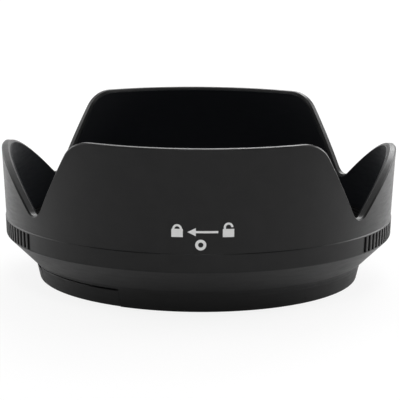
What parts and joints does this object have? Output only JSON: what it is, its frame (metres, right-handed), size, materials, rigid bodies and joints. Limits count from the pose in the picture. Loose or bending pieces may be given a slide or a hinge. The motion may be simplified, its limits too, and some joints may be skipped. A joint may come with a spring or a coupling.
{
  "type": "lens hood",
  "caption": "Petal-shaped lens hood with a bayonet collar, sprung click tongues, ribbed side grips, a stepped throat and lined petals.",
  "frame": {"origin": "centre of the collar's rear face, on the optical axis", "axes": "+Z along the optical axis towards the subject, -Y towards the index mark on the front long petal, +X towards the right short petal"},
  "size_m": [0.0866, 0.0872, 0.0355],
  "materials": {
    "shell_plastic": "satin black moulded plastic",
    "collar_plastic": "fine-grained black moulded plastic",
    "grip_plastic": "satin black moulded plastic",
    "lining": "matt blue-black anti-reflection film liner",
    "white_ink": "white filled marking"
  },
  "bodies": {
    "hood": {"petal_shell": "shell_plastic", "bayonet_collar": "collar_plastic", "right_grip_insert": "grip_plastic", "left_grip_insert": "grip_plastic", "front_petal_lining": "lining", "right_petal_lining": "lining", "rear_petal_lining": "lining", "left_petal_lining": "lining", "index_ring_mark": "white_ink", "lock_legend_mark": "white_ink"},
    "front_tongue": {"front_click_tongue": "collar_plastic"},
    "rear_tongue": {"rear_click_tongue": "collar_plastic"}
  },
  "joints": [
    {"name": "front_tongue_flex", "type": "hinge", "parent": "hood", "child": "front_tongue", "pos_m": [-0.01546, -0.03101, 0.0019], "axis": [0, 0, 1], "range_deg": [0, 1.2], "stiffness_Nm_per_rad": 0.35},
    {"name": "rear_tongue_flex", "type": "hinge", "parent": "hood", "child": "rear_tongue", "pos_m": [0.01546, 0.03101, 0.0019], "axis": [0, 0, 1], "range_deg": [0, 1.2], "stiffness_Nm_per_rad": 0.35}
  ]
}
